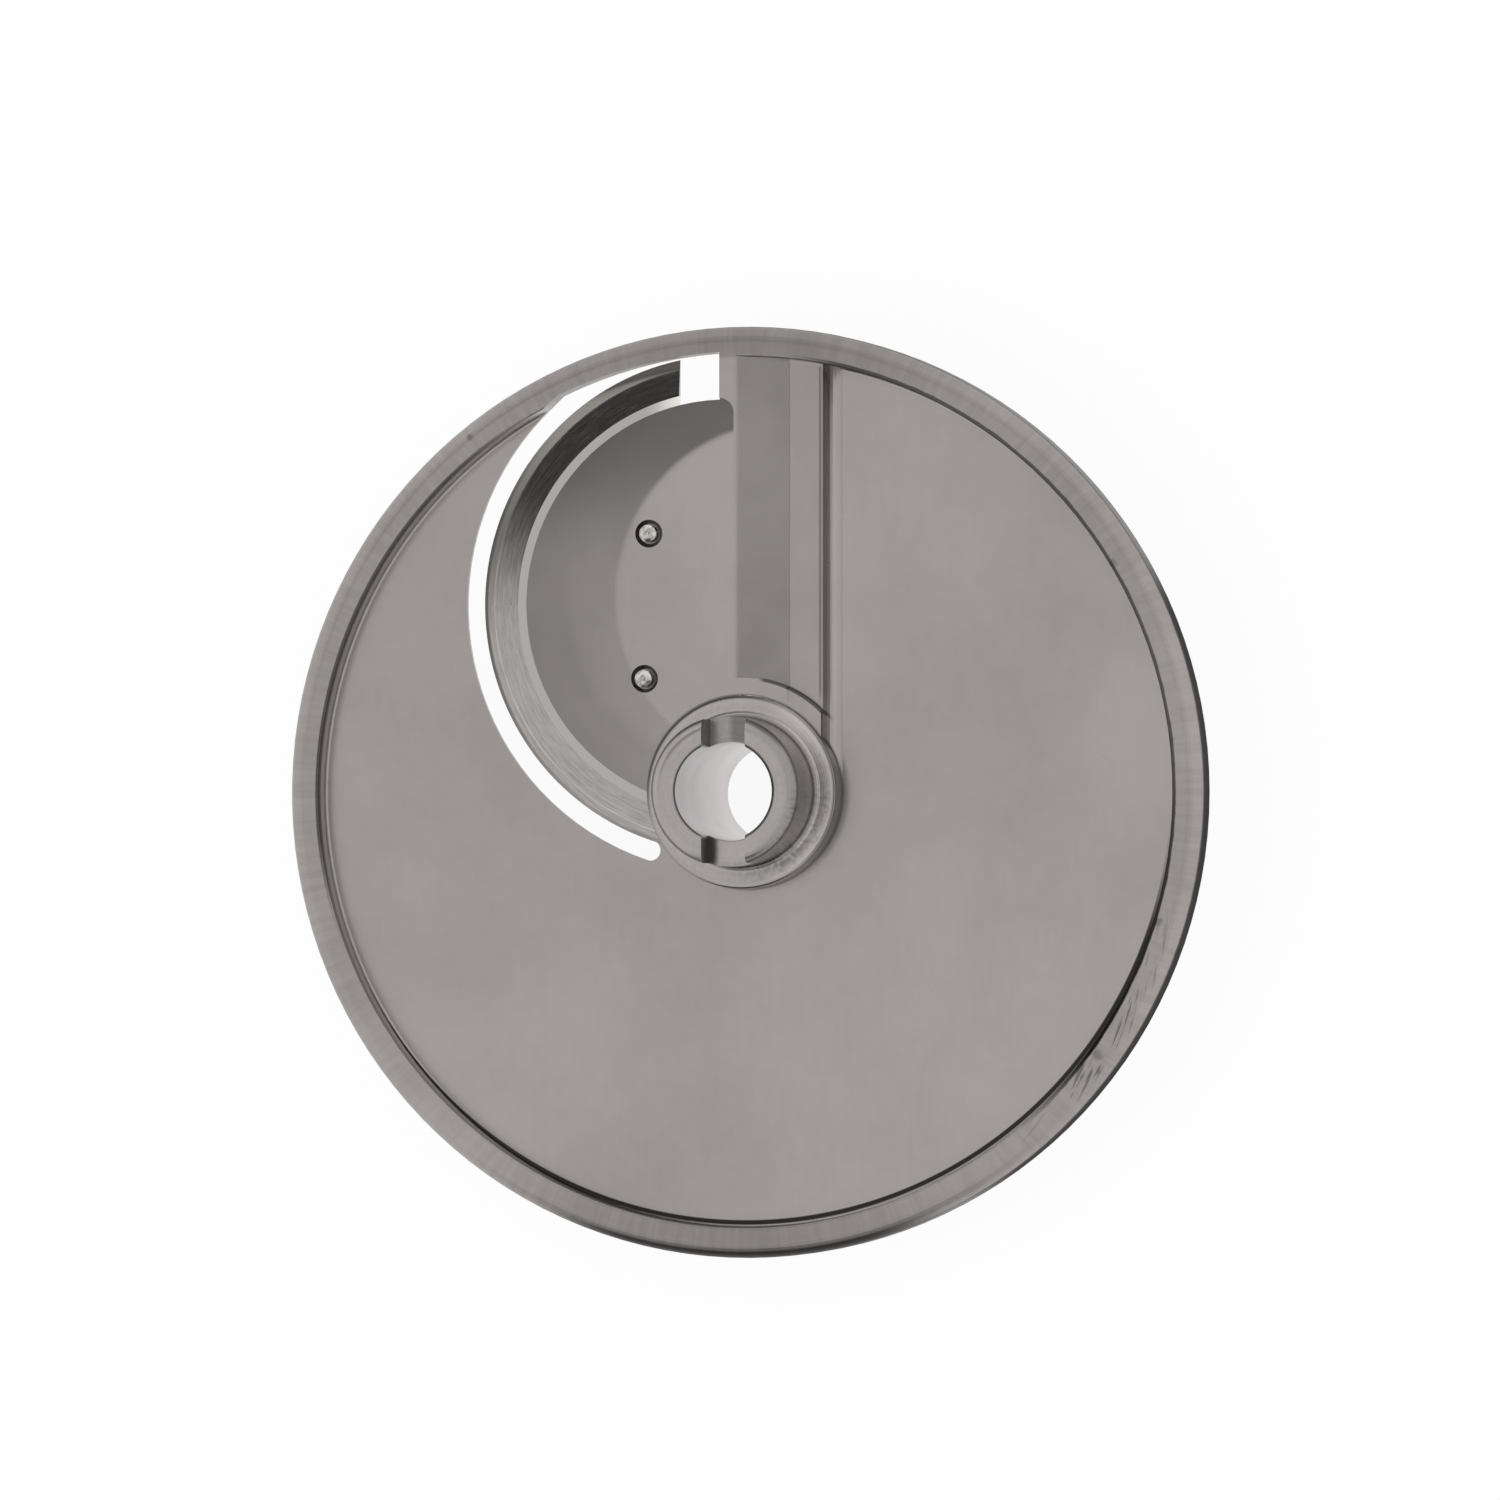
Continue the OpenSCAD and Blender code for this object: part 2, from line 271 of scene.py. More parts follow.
def rim_dents(tree):
    """Small dents of the rim, as a mask from 0 to 1."""
    ragged = tree.noise(tree.place(), 1.0 / (0.8 * MM), detail=2.0)
    mask = 0.0
    for degrees, inset, size in RIM_DENTS:
        turn = math.radians(degrees)
        reach = RIM_RADIUS - inset * MM
        gap = tree.reach((reach * math.cos(turn), reach * math.sin(turn)))
        mask = mask + (1.0 - (gap / (size * MM) + ragged * 0.8).smooth(0.55, 1.2))
    return mask


def crease_shade(tree):
    """Painted shade in the dark lines of the pan's foot, wall and drawn edge, as a mask from 0 to 1."""
    x, y, height = tree.split(tree.place())
    foot = tree.reach(FOOT_CENTRE).stripe(-0.3, 0.65, 0.15, PAN_RADIUS)
    foot = foot * height.fall(0.8, 1.6, PAN_TOP) * y.fall(-32.0, -4.0)
    reach = tree.reach(EDGE_CENTRE)
    wall = reach.stripe(-1.0, 0.5, 0.12, PAN_RADIUS) * height.rise(3.9, 4.7, PAN_TOP)
    wall = wall * x.fall(-62.0, -40.0) * y.rise(-34.0, -6.0)
    ragged = tree.noise(tree.join(tree.turn(EDGE_CENTRE) * 12.0, 0.0, 0.0), detail=4.0, roughness=0.6)
    inner = PAN_RADIUS + (ragged - 0.6) * 0.7 * MM
    edge = reach.stripe(-0.1, 1.0, 0.14, inner) * height.rise(-1.5, -0.9, RIM_TOP)
    edge = edge * (x + y * 0.5).rise(18.0, 46.0) * x.rise(8.0, 22.0)
    return foot * 0.92 + wall * 0.72 + edge * (0.72 + y.fall(-50.0, 30.0) * 0.24)


def scars(tree):
    """Torn marks along the rim at the lower right, slanting across it, as a mask from 0 to 1."""
    reach, turn = tree.reach(), tree.turn()
    slant = reach / (0.75 * MM) + turn * 26.0
    torn = tree.noise(tree.join(turn * 11.0, slant, 0.0)).smooth(0.56, 0.63)
    stretch = turn.band(*(math.radians(degrees) for degrees in TORN_STRETCH))
    return torn * stretch * reach.band(PAN_RADIUS + 0.6 * MM, RIM_RADIUS - 1.6 * MM, 0.5 * MM)


def joint_shade(tree):
    """Painted shade in the dark joints round the hub's collar and seat, and down the step and strip, as a
    mask from 0 to 1.
    """
    x, y = tree.split(tree.place())[:2]
    reach = tree.reach()
    collar = reach.fall(0.15, 0.5, COLLAR_RADIUS)
    seat = reach.stripe(-0.45, 0.2, 0.15, SEAT_RADIUS)
    seat = seat * x.band(4.0 * MM, STEP_X, 0.8 * MM) * y.rise(8.0, 14.0)
    pan = y.rise(16.0, 22.0) * reach.fall(-0.9, -0.3, PAN_RADIUS)
    step = x.stripe(-1.5, 0.3, 0.2, STEP_X) * 0.25 + x.stripe(-1.75, -1.4, 0.12, STEP_X) * 0.4
    strip = x.stripe(-0.12, 0.12, 0.1, STRIP_X) * 0.2
    strip = strip + x.band(STRIP_X, STEP_X - 1.5 * MM, 0.2 * MM) * 0.1
    return collar * 0.4 + seat * 0.7 + (step + strip) * pan


def make_plate_steel(settings):
    material, tree = new_material("plate_steel")
    place = tree.place()
    x, y, height = tree.split(place)
    reach, turn = tree.reach(), tree.turn()
    clouds = tree.noise(place, 1.0 / settings.cloud_size, detail=4.0, roughness=0.55)
    mottle = tree.noise(place, 14.0 / settings.cloud_size, roughness=0.6)
    spokes = tree.noise(tree.join(turn * 70.0, reach * 60.0, 0.0), roughness=0.6)
    weave = {"Vector": place, "Scale": (1.0, settings.brush_stretch, 1.0)}
    brushed = tree.noise(tree.add("ShaderNodeMapping", None, weave), 1.0 / settings.brush_spacing, detail=2.0)
    grain = tree.noise(place, 1.0 / (0.35 * MM), detail=2.0)

    # The pressed dish behind the blade, left of the ramp, darkened by painted shade that is deepest at its
    # upper tip
    left = x.fall(-0.4, 0.0, RAMP_HEAD_X)
    depth = (RIM_TOP - height) / MM
    hollow = depth.smooth(0.01, 0.09) * (1.0 - depth.smooth(1.5, 1.7))
    hollow = hollow * left * reach.fall(-1.2, -0.7, PAN_RADIUS)
    dish = hollow * (0.5 + depth.smooth(0.2, 1.4) * 0.5)
    tip = hollow * y.rise(46.0, 74.0)
    centre, radius = blade_circle()
    # Painted shadow: a soft dark band across the lower dish, along the blade's arc
    press_shadow = tree.reach(centre).stripe(-18.5, -15.5, 2.5, radius) * y.fall(30.0, 50.0) * left

    # The rim and its skirt, with painted shade at the rim's top and bottom ends, down the skirt and along the
    # rim's outer edge at the front
    rim = reach.rise(-0.5, 0.5, PAN_RADIUS)
    # Painted shade: the rim is darker at its top and bottom ends
    ends = abs(y).smooth(0.8 * RIM_RADIUS, 0.97 * RIM_RADIUS) * rim
    skirt_shade = height.fall(-2.4, -2.0, RIM_TOP) * reach.rise(-1.6, -1.0, RIM_RADIUS)
    front = 1.0 - y.smooth(-0.96 * RIM_RADIUS, -0.88 * RIM_RADIUS)
    front_edge_shade = reach.rise(-1.8, -1.0, RIM_RADIUS) * front
    dents, torn = rim_dents(tree), scars(tree)
    # Painted highlight: the pan's wall is made lighter on the left
    wall = reach.stripe(-0.9, 0.6, 0.2, PAN_RADIUS) * x.fall(-60.0, -30.0)
    wall = wall * height.stripe(0.6, 3.9, 0.4, PAN_TOP)

    light = dimmed(
        (dish, settings.dish_shade), (tip, settings.tip_shade), (press_shadow, 0.08),
        (ends, 0.2), (skirt_shade, 0.65), (front_edge_shade, 0.85), (dents, 0.35), (torn, 0.5),
        (crease_shade(tree), 1.0), (joint_shade(tree), 1.0),
    )
    tone = (clouds - 0.5) * 1.3 + (mottle - 0.5) * 0.16 + (brushed - 0.5) * 0.1 + (spokes - 0.5) * rim * 0.9
    colour = tree.mottled(settings.colour, tone, 0.14)
    colour = tree.blend(wall, colour, shade(settings.colour, 1.7))
    colour = tree.blend(light, BLACK, colour)
    roughness = settings.roughness + (clouds - 0.5) * 0.1 + dish * 0.05 + rim * settings.rim_wear
    relief = grain * 0.1 + brushed * 0.25 + spokes * rim * 0.8 - dents * 8.0 - torn * 6.0
    tree.steel(colour, roughness, tree.bump(relief, settings.relief))
    return material


def make_blade_steel(settings):
    material, tree = new_material("blade_steel")
    place = tree.place()
    x, y = tree.split(place)[:2]
    centre, radius = blade_circle()
    reach, turn = tree.reach(centre), tree.turn(centre)
    grind = tree.noise(tree.join(turn * 9.0, reach / settings.grind_spacing, 0.0), roughness=0.65)
    clouds = tree.noise(place, 60.0)
    bevel = reach.rise(-0.1, 0.1, radius - BEVEL)
    facet = reach.rise(-0.1, 0.1, radius - FACET)
    edge_highlight = reach.stripe(-0.3, 0.0, 0.1, radius - FACET)
    top = y.rise(50.0, 78.0)
    # Painted shade: a thin dark line along the cutting edge, weaker at the top
    line = reach.rise(-0.9, -0.5, radius) * (0.35 + y.rise(-4.0, 34.0) * 0.55) * (1.0 - top)

    colour = tree.mottled(settings.colour, (grind - 0.5) * bevel * 1.1 + (clouds - 0.5) * 0.3, 0.3)
    # Painted light: the polished land is darker at the left and much lighter towards the top
    upper = x.rise(-21.0, -13.0)
    land = tree.blend(upper, shade(settings.land_colour, 0.85), shade(settings.land_colour, 1.7))
    colour = tree.blend(1.0 - bevel, colour, land)
    # Painted shade and light: the honed facet is kept dark, and made lighter towards the top
    honed = tree.blend(top, shade(settings.facet_shade_colour, 1.1), shade(settings.facet_shade_colour, 2.3))
    colour = tree.blend(facet * y.rise(26.0, 54.0), colour, honed)
    colour = tree.blend(line, colour, shade(settings.facet_shade_colour, 0.6))
    # Painted highlight: a thin bright line where the facet meets the bevel, strongest at the top
    colour = tree.blend(edge_highlight * (0.3 + top * 0.6), colour, shade(settings.land_colour, 1.3))
    roughness = settings.roughness + (grind - 0.5) * bevel * 0.1 + (1.0 - bevel) * 0.08 + facet * 0.1
    tree.steel(colour, roughness, tree.bump(grind * bevel, settings.relief))
    return material


def make_hub_steel(settings):
    material, tree = new_material("hub_steel")
    place = tree.place()
    x, y, height = tree.split(place)
    reach, turn = tree.reach(), tree.turn()
    pitch = settings.turning_pitch
    turning = tree.noise(tree.join(reach / pitch, height / pitch, turn * 0.4), detail=2.0)
    streaks = tree.noise(tree.join(turn * 22.0, reach / (1.6 * MM), height / (6.0 * MM)))
    clouds = tree.noise(place, 90.0, detail=4.0, roughness=0.6)

    # The tube: its bore, its crown, painted shade on the crown's shoulder at the right, broken by streaks, a
    # dark arch of painted shade on the shoulder at the back, and painted shade on the bore's lip at the left
    bore = reach.fall(0.1, 0.3, BORE_RADIUS)
    crown = height.rise(-3.0, -2.4, HUB_TOP)
    shoulder = reach.rise(-2.3, -1.2, TUBE_RADIUS) * crown * x.rise(2.0, 9.0) * (1.0 - bore)
    shoulder_shade = (shoulder * (0.25 + streaks * 0.5)).smooth(0.0, 1.0)
    arch_shade = reach.rise(-1.1, -0.6, TUBE_RADIUS) * crown * y.rise(7.0, 13.0)
    lip_shade = reach.fall(0.25, 0.45, BORE_RADIUS) * x.fall(-6.0, 0.0) * height.rise(-0.9, -0.4, HUB_TOP)

    # The collar: painted shade in its dark outline, in the line at the tube's foot and in patches at the
    # lower right, and a painted highlight on the ledge at the right
    flat = 1.0 - crown
    corner = (y * 0.75 - x * 0.65).rise(5.0, 16.0)
    outline_shade = 0.12 + corner * 0.6 + x.rise(8.0, 17.0) * 0.25
    rim = reach.rise(-0.9, -0.3, COLLAR_RADIUS) * flat * outline_shade
    foot = reach.stripe(-0.1, 0.7, 0.2, TUBE_RADIUS) * flat * (x * 0.7 + y * 0.7).rise(-6.0, 8.0)
    lower_right_shade = (x * 0.75 - y * 0.65).rise(4.0, 15.0) * reach.stripe(-1.2, 3.35, 0.8, TUBE_RADIUS)
    lower_right_shade = lower_right_shade * (streaks * 0.5 + clouds * 0.8).smooth(0.5, 0.95)
    lit_ledge = reach.band(TUBE_RADIUS + 0.8 * MM, COLLAR_RADIUS - 0.7 * MM, 0.3 * MM) * flat

    # The two notches, each with its own play of shade from side to side
    notch = height.band(HUB_TOP - NOTCH_DEPTH - 0.6 * MM, HUB_TOP - 1.0 * MM, 0.3 * MM)
    notch = notch * (1.0 - bore) * abs(x).fall(-0.05, 0.1, NOTCH_SIDE)
    upper = 0.22 + x.fall(-4.4, -4.0) * 0.28 + x.rise(-0.9, 0.9) * 0.3
    lower = x.fall(-3.6, -2.2) * 0.7
    notch = notch * (upper * y.rise(5.0, 9.0) + lower * y.fall(-9.0, -5.0))

    tone = (turning - 0.5) * 0.35 + (clouds - 0.5) * 0.5 + (streaks - 0.5) * 0.35
    colour = tree.mottled(settings.colour, tone, 0.2)
    # Painted shading: the bore is dark at its top and light at its bottom
    deep = 1.0 - height.smooth(4.0 * MM, HUB_TOP - 6.0 * MM)
    inside = tree.blend(deep, shade(settings.bore_colour, 0.55), shade(settings.bore_colour, 1.0))
    colour = tree.blend(bore, colour, inside)
    # Painted highlight: the ledge is made lighter at the right
    colour = tree.blend(lit_ledge * x.rise(4.0, 13.0), colour, shade(settings.colour, 1.4))
    light = dimmed(
        (shoulder_shade, 0.4), (arch_shade, 0.5), (lip_shade, 0.75), (rim, 1.0), (foot, 0.3), (lower_right_shade, 0.6), (notch, 1.0)
    )
    colour = tree.blend(light, BLACK, colour)
    roughness = settings.roughness + (clouds - 0.5) * 0.15 + crown * (1.0 - bore) * 0.08
    tree.steel(colour, roughness, tree.bump(turning + clouds * 0.3 + streaks * 0.6, settings.relief))
    return material


def make_rivet_steel(settings):
    material, tree = new_material("rivet_steel")
    hammered = tree.noise(tree.place(), 1.0 / (1.1 * MM), detail=2.0)
    colour = tree.blend(hammered.smooth(0.3, 0.7), shade(settings.colour, 0.6), shade(settings.colour, 1.2))
    normal = tree.bump(hammered, settings.hammering)
    tree.steel(colour, settings.roughness + hammered * 0.08, normal)
    return material


def circle_through(points):
    """Centre and radius of the circle through three points in plan."""
    (ax, ay), (bx, by), (cx, cy) = points
    d = 2.0 * (ax * (by - cy) + bx * (cy - ay) + cx * (ay - by))
    a, b, c = ax * ax + ay * ay, bx * bx + by * by, cx * cx + cy * cy
    x = (a * (by - cy) + b * (cy - ay) + c * (ay - by)) / d
    y = (a * (cx - bx) + b * (ax - cx) + c * (bx - ax)) / d
    return (x, y), math.hypot(ax - x, ay - y)


def blade_circle():
    """Circle of the cutting edge, from the outermost points of the blade's underside."""
    under = BLADE_LOW.z + 0.01 * MM
    edge = [v.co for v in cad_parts["blade"].data.vertices if v.co.z < under]
    top = max(edge, key=lambda p: p.y)
    left = min(edge, key=lambda p: p.x)
    low = min(edge, key=lambda p: p.y)
    return circle_through([(p.x, p.y) for p in (top, left, low)])


def dress(node, material):
    """Gives a CAD node its finish."""
    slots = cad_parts[node].data.materials
    slots.clear()
    slots.append(material)


def rivet_tree(material):
    """Turns one closed rivet from its half section, and sets it at two places."""
    group = bpy.data.node_groups.new("rivets", "GeometryNodeTree")
    tree = Tree(group)
    sockets = {
        "Upper place": "Vector", "Lower place": "Vector",
        "Head radius": "Float", "Head height": "Float", "Head fullness": "Float",
        "Shank radius": "Float", "Grip": "Float", "Tail height": "Float", "Sides": "Int",
    }
    for name, kind in sockets.items():
        group.interface.new_socket(name, in_out="INPUT", socket_type="NodeSocket" + kind)
    group.interface.new_socket("Rivets", in_out="OUTPUT", socket_type="NodeSocketGeometry")
    given = tree.node("NodeGroupInput")
    value = {name: Field(tree, given.outputs[name]) for name in sockets}
    radius, shank, grip = value["Head radius"], value["Shank radius"], value["Grip"]
    full = radius * value["Head fullness"]
    head, foot = value["Head height"], 0.0 - grip - value["Tail height"]

    def point(reach, height):
        return tree.join(reach - radius, height, 0.0)

    def dome(start, bulge, end):
        return tree.add("GeometryNodeCurveQuadraticBezier", None, [DOME_STEPS, start, bulge, end])

    def line(start, end):
        return tree.add("GeometryNodeCurvePrimitiveLine", {"mode": "POINTS"}, [start, end])

    strips = [
        dome(point(0.0, head), point(full, head), point(radius, 0.0)),
        line(point(radius, 0.0), point(shank, 0.0)),
        line(point(shank, 0.0), point(shank, 0.0 - grip)),
        line(point(shank, 0.0 - grip), point(radius, 0.0 - grip)),
        dome(point(radius, 0.0 - grip), point(full, foot), point(0.0, foot)),
    ]
    section = tree.add("GeometryNodeJoinGeometry", None, [strips])
    circle = {"Resolution": value["Sides"], "Radius": radius}
    ring = tree.add("GeometryNodeCurvePrimitiveCircle", None, circle)
    skin = tree.add("GeometryNodeCurveToMesh", None, {"Curve": ring, "Profile Curve": section})
    rivet = tree.add("GeometryNodeMergeByDistance", None, {"Geometry": skin, "Distance": WELD})
    index = tree.add("GeometryNodeInputIndex")
    places = tree.mix("VECTOR", index, value["Upper place"], value["Lower place"])
    points = tree.add("GeometryNodePoints", None, {"Count": 2, "Position": places})
    pair = tree.add("GeometryNodeInstanceOnPoints", None, {"Points": points, "Instance": rivet})
    solid = tree.add("GeometryNodeRealizeInstances", None, [pair])
    solid = tree.add("GeometryNodeSetMaterial", None, {"Geometry": solid, "Material": material})
    tree.node("NodeGroupOutput", None, [solid])
    return group


def modifier_inputs(modifier, group, values):
    """Sets a modifier's inputs by the identifiers of their sockets."""
    for item in group.interface.items_tree:
        if item.in_out == "INPUT":
            modifier[item.identifier] = values[item.name]


def soften(mesh):
    """Merges the mesh's points and turns its faces outwards, smooth between its sharp edges."""
    shape = bmesh.new()
    shape.from_mesh(mesh)
    bmesh.ops.remove_doubles(shape, verts=shape.verts, dist=WELD)
    bmesh.ops.recalc_face_normals(shape, faces=shape.faces)
    for edge in shape.edges:
        edge.smooth = edge.calc_face_angle(0.0) < SHARP
    for face in shape.faces:
        face.smooth = True
    shape.to_mesh(mesh)
    shape.free()


def make_rivets(scene, settings):
    material = make_rivet_steel(settings)
    group = rivet_tree(material)
    source = bpy.data.objects.new("rivet_source", bpy.data.meshes.new("rivet_source"))
    scene.collection.objects.link(source)
    modifier = source.modifiers.new("rivets", "NODES")
    modifier.node_group = group
    low, high = RIVET_BOXES[0]
    floor = BLADE_HIGH.z + SHEET
    centres = [(a + b) / 2 for a, b in RIVET_BOXES]
    values = {
        "Upper place": (centres[0].x, centres[0].y, floor),
        "Lower place": (centres[1].x, centres[1].y, floor),
        "Head radius": (high.x - low.x) / 2 - settings.clearance,
        "Head height": high.z - floor - settings.clearance,
        "Head fullness": settings.fullness,
        "Shank radius": settings.shank_radius,
        "Grip": floor - BLADE_LOW.z,
        "Tail height": BLADE_LOW.z - low.z - settings.clearance,
        "Sides": settings.sides,
    }
    modifier_inputs(modifier, group, values)
    depsgraph = bpy.context.evaluated_depsgraph_get()
    mesh = bpy.data.meshes.new_from_object(source.evaluated_get(depsgraph))
    mesh.name = "rivets"
    source.modifiers.remove(modifier)
    bpy.data.objects.remove(source)
    soften(mesh)
    rivets = bpy.data.objects.new("rivets", mesh)
    scene.collection.objects.link(rivets)
    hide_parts("rivet_upper", "rivet_lower")
    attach(rivets, "root")


class StageSettings(bpy.types.PropertyGroup):
    camera_distance: FloatProperty(
        name="Camera distance", description="Distance from the disc", default=2.4, unit="LENGTH"
    )
    camera_tilt: FloatProperty(
        name="Camera tilt", description="Lean of the view towards +X",
        default=math.radians(11.5), subtype="ANGLE",
    )
    camera_dip: FloatProperty(
        name="Camera dip", description="Lean of the view towards -Y",
        default=math.radians(0.8), subtype="ANGLE",
    )
    view_width: FloatProperty(
        name="View width", description="Width of the view at the rim", default=305.6 * MM, unit="LENGTH"
    )
    axis_shift: FloatVectorProperty(
        name="Axis shift", description="Place of the hub's axis in the view, from its middle, right and up",
        size=2, default=(-1.63 * MM, -8.55 * MM), unit="LENGTH",
    )
    floor_size: FloatProperty(
        name="Floor size", description="Side of the floor", default=8.0, unit="LENGTH"
    )
    floor_glow: FloatProperty(
        name="Floor glow", description="Share of the floor's colour that no shadow darkens", default=0.93
    )
    daylight: FloatProperty(
        name="Daylight", description="Strength of the light from all sides", default=0.95
    )
    key_power: FloatProperty(
        name="Key power", description="Power of the soft lamp in watts", default=5.0
    )
    card_distance: FloatProperty(
        name="Card distance", description="Distance of the studio's cards", default=1.6, unit="LENGTH"
    )


class PlateSettings(bpy.types.PropertyGroup):
    colour: FloatVectorProperty(
        name="Colour", description="Colour of the plate's steel",
        default=(0.358, 0.332, 0.32), subtype="COLOR",
    )
    roughness: FloatProperty(
        name="Roughness", description="Roughness of the satin finish", default=0.26
    )
    # Painted shade: how much the dish behind the blade is darkened, and how much more its upper tip
    dish_shade: FloatProperty(
        name="Dish shade", description="How much the press dulls the dish behind the blade", default=0.3
    )
    tip_shade: FloatProperty(
        name="Tip shade", description="How much duller still the dish's upper tip is", default=0.4
    )
    cloud_size: FloatProperty(
        name="Cloud size", description="Size of the soft blotches", default=45 * MM, unit="LENGTH"
    )
    rim_wear: FloatProperty(
        name="Rim wear", description="How much rougher the worn rim is", default=0.16
    )
    brush_spacing: FloatProperty(
        name="Brush spacing", description="Width of the brushing", default=0.9 * MM, unit="LENGTH"
    )
    brush_stretch: FloatProperty(
        name="Brush stretch", description="Share of the brushing's width to its length", default=0.08
    )
    relief: FloatProperty(
        name="Relief", description="Depth of grain and brushing", default=0.006 * MM, unit="LENGTH"
    )


class BladeSettings(bpy.types.PropertyGroup):
    colour: FloatVectorProperty(
        name="Colour", description="Colour of the blade's steel",
        default=(0.36, 0.34, 0.33), subtype="COLOR",
    )
    # Painted shade: the honed facet's colour is darker than the blade's steel
    facet_shade_colour: FloatVectorProperty(
        name="Facet shade colour", description="Colour of the honed facet",
        default=(0.17, 0.163, 0.152), subtype="COLOR",
    )
    land_colour: FloatVectorProperty(
        name="Land colour", description="Colour of the polished land",
        default=(0.5, 0.48, 0.46), subtype="COLOR",
    )
    grind_spacing: FloatProperty(
        name="Grind spacing", description="Spacing of the grinding marks", default=0.5 * MM, unit="LENGTH"
    )
    roughness: FloatProperty(
        name="Roughness", description="Roughness of the ground bevel", default=0.14
    )
    relief: FloatProperty(
        name="Relief", description="Depth of the grinding", default=0.006 * MM, unit="LENGTH"
    )


class HubSettings(bpy.types.PropertyGroup):
    colour: FloatVectorProperty(
        name="Colour", description="Colour of the hub's steel",
        default=(0.385, 0.36, 0.352), subtype="COLOR",
    )
    bore_colour: FloatVectorProperty(
        name="Bore colour", description="Colour of the finely turned bore",
        default=(0.475, 0.442, 0.436), subtype="COLOR",
    )
    roughness: FloatProperty(
        name="Roughness", description="Roughness of the turned hub", default=0.22
    )
    turning_pitch: FloatProperty(
        name="Turning pitch", description="Spacing of the turning marks", default=0.35 * MM, unit="LENGTH"
    )
    relief: FloatProperty(
        name="Relief", description="Depth of the turning marks", default=0.008 * MM, unit="LENGTH"
    )


class RivetSettings(bpy.types.PropertyGroup):
    colour: FloatVectorProperty(
        name="Colour", description="Colour of the rivets' steel",
        default=(0.55, 0.53, 0.5), subtype="COLOR",
    )
    roughness: FloatProperty(
        name="Roughness", description="Roughness of the rivets", default=0.16
    )
    fullness: FloatProperty(
        name="Fullness", description="How full the domes are", default=0.5
    )
    shank_radius: FloatProperty(
        name="Shank radius", description="Radius of the shank", default=1.28 * MM, unit="LENGTH"
    )
    clearance: FloatProperty(
        name="Clearance", description="How far the rivets stay inside their solids",
        default=0.01 * MM, unit="LENGTH",
    )
    hammering: FloatProperty(
        name="Hammering", description="Depth of the marks on the heads", default=0.12 * MM, unit="LENGTH"
    )
    sides: IntProperty(name="Sides", description="Sides of each rivet", default=40)


class DISC_OT_plate(bpy.types.Operator):
    """Finish the pressed disc plate"""

    bl_idname = "slicing_disc.plate"
    bl_label = "Disc plate"

    def execute(self, context):
        dress("disc_plate", make_plate_steel(context.scene.disc_plate))
        return {"FINISHED"}


class DISC_OT_blade(bpy.types.Operator):
    """Finish the ground sickle blade"""

    bl_idname = "slicing_disc.blade"
    bl_label = "Blade"

    def execute(self, context):
        dress("blade", make_blade_steel(context.scene.disc_blade))
        return {"FINISHED"}


class DISC_OT_hub(bpy.types.Operator):
    """Finish the turned hub"""

    bl_idname = "slicing_disc.hub"
    bl_label = "Hub"

    def execute(self, context):
        dress("hub", make_hub_steel(context.scene.disc_hub))
        return {"FINISHED"}


class DISC_OT_rivets(bpy.types.Operator):
    """Set the two rivets that hold the blade"""

    bl_idname = "slicing_disc.rivets"
    bl_label = "Rivets"

    def execute(self, context):
        make_rivets(context.scene, context.scene.disc_rivets)
        return {"FINISHED"}


def plain_view(tree):
    """1 for the rays that see the plain white background, also in metal, and 0 for those that light."""
    path = tree.node("ShaderNodeLightPath")
    camera, glossy, through = (
        Field(tree, path.outputs[name]) for name in ("Is Camera Ray", "Is Glossy Ray", "Is Transmission Ray")
    )
    return camera + glossy + through


def make_floor_material(settings):
    material, tree = new_material("floor_white")
    matte = tree.add("ShaderNodeBsdfDiffuse", None, {"Color": WHITE})
    glow = tree.add("ShaderNodeEmission", None, {"Color": WHITE, "Strength": 1.0})
    mixed = tree.add("ShaderNodeMixShader", None, [plain_view(tree) * settings.floor_glow, matte, glow])
    tree.node("ShaderNodeOutputMaterial", None, {"Surface": mixed})
    return material


def make_floor(scene, settings):
    mesh = bpy.data.meshes.new("floor")
    shape = bmesh.new()
    bmesh.ops.create_grid(shape, x_segments=2, y_segments=2, size=settings.floor_size / 2)
    shape.to_mesh(mesh)
    shape.free()
    mesh.materials.append(make_floor_material(settings))
    floor = bpy.data.objects.new("floor", mesh)
    scene.collection.objects.link(floor)


def make_world(scene, settings):
    world = bpy.data.worlds.new("studio")
    scene.world = world
    world.use_nodes = True
    tree = Tree(world.node_tree)
    strength = settings.daylight + plain_view(tree) * (1.0 - settings.daylight)
    back = tree.add("ShaderNodeBackground", None, {"Color": WHITE, "Strength": strength})
    tree.node("ShaderNodeOutputWorld", None, {"Surface": back})


def view_axes(lean):
    """Turns a thing so that its Z axis follows lean and its Y axis stays over the world's Y."""
    side = Vector((0.0, 1.0, 0.0)).cross(lean).normalized()
    return Matrix((side, lean.cross(side), lean)).transposed()


def tilted(right, up):
    """Direction that leans from the zenith by two angles in degrees, towards +X and +Y."""
    return Vector((math.tan(math.radians(right)), math.tan(math.radians(up)), 1.0)).normalized()


def hung(settings, towards, spread, roll=0.0):
    """Bends a card round the disc, in degrees from its middle: its place for two numbers from -1 to 1."""
    turn = view_axes(towards) @ Matrix.Rotation(math.radians(roll), 3, "Z")
    centre = Vector((0.0, 0.0, RIM_TOP))

    def place(u, v):
        across, along = math.radians(spread[0]) * u, math.radians(spread[1]) * v
        flat = math.cos(along)
        way = Vector((math.sin(across) * flat, math.sin(along), math.cos(across) * flat))
        return centre + turn @ way * settings.card_distance

    return place


